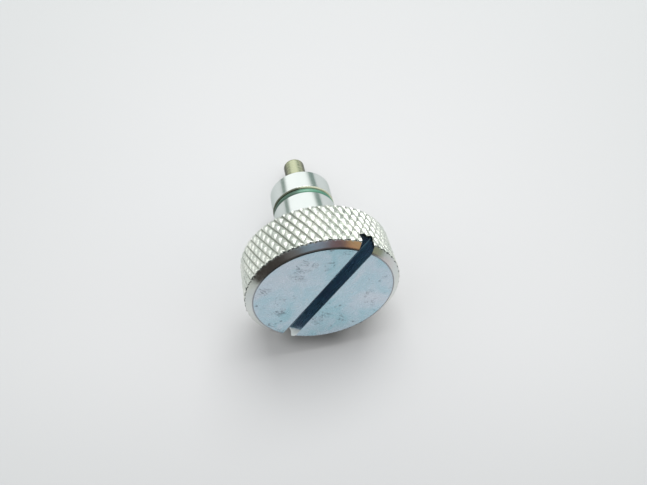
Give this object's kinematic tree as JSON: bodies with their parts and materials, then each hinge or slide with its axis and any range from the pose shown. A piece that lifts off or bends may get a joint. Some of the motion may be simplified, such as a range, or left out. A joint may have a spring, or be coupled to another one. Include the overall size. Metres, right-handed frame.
{
  "type": "captive thumb screw",
  "caption": "Captive thumb screw: diamond-knurled knob with a coin slot, sprung in a grooved ferrule with a green ring, on a yellow stud with a short thread and pilot nose.",
  "frame": {"origin": "on the screw's axis, in the plane of the knob's underside at rest, where the ferrule's full diameter starts", "axes": "+Z along the axis towards the knob's slotted face, stud pointing down -Z; +X along the coin slot"},
  "size_m": [0.0252, 0.0252, 0.0324],
  "materials": {
    "knob_clear_zinc": "steel, clear blue-white zinc plate; satin slotted face with fine pits, bright chamfer with a brown and violet tint, bright diamond knurl",
    "ferrule_bright_zinc": "steel, turned smooth and bright clear zinc plated, close to a mirror",
    "stud_yellow_zinc": "steel, pale yellow-olive passivated zinc plate, semi-bright",
    "clip_steel": "spring steel, dark phosphate",
    "ring_rubber": "green rubber, moulded, satin",
    "washer_acetal": "natural acetal, satin",
    "spring_steel": "drawn music wire"
  },
  "bodies": {
    "ferrule": {"ferrule": "ferrule_bright_zinc", "seal_ring": "ring_rubber", "spring": "spring_steel"},
    "carrier": {"thrust_washer": "washer_acetal"},
    "knob": {"knob": "knob_clear_zinc", "stud": "stud_yellow_zinc", "retaining_ring": "clip_steel"}
  },
  "joints": [
    {"name": "press", "type": "slide", "parent": "ferrule", "child": "carrier", "axis": [0, 0, -1], "range_m": [0, 0.00315], "stiffness_N_per_m": 960, "springref_m": -0.0042, "deforming": ["spring"]},
    {"name": "turn", "type": "hinge", "parent": "carrier", "child": "knob", "pos_m": [0, 0, 0], "axis": [0, 0, 1], "continuous": true}
  ]
}
